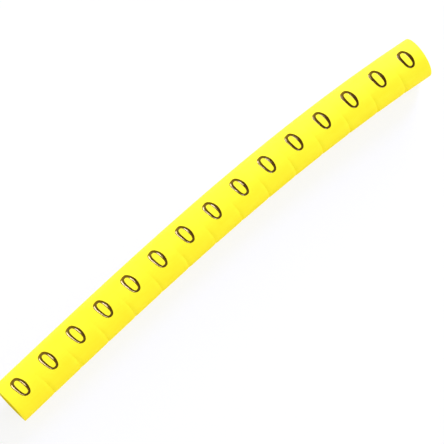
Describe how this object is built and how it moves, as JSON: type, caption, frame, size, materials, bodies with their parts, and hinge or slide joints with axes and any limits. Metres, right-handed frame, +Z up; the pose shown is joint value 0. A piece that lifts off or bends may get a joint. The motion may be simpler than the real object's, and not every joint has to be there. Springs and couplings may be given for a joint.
{
  "type": "cable marker strip",
  "caption": "Gently bent strip of soft yellow tube, stamped with a dark digit on every marker and knife-cut between them, to be torn off and slid onto a wire.",
  "frame": {"origin": "middle of the strip's footprint, on the surface that it lies on", "axes": "+X along the chord of the strip, +Y to the outside of its bend, +Z up through the stamped face"},
  "size_m": [0.0604, 0.0064, 0.005],
  "materials": {
    "yellow_tube": "satin soft PVC",
    "dark_foil": "glossy hot-stamped foil"
  },
  "bodies": {
    "root": {"marker_strip": "yellow_tube", "stamped_digits": "dark_foil"}
  },
  "joints": []
}
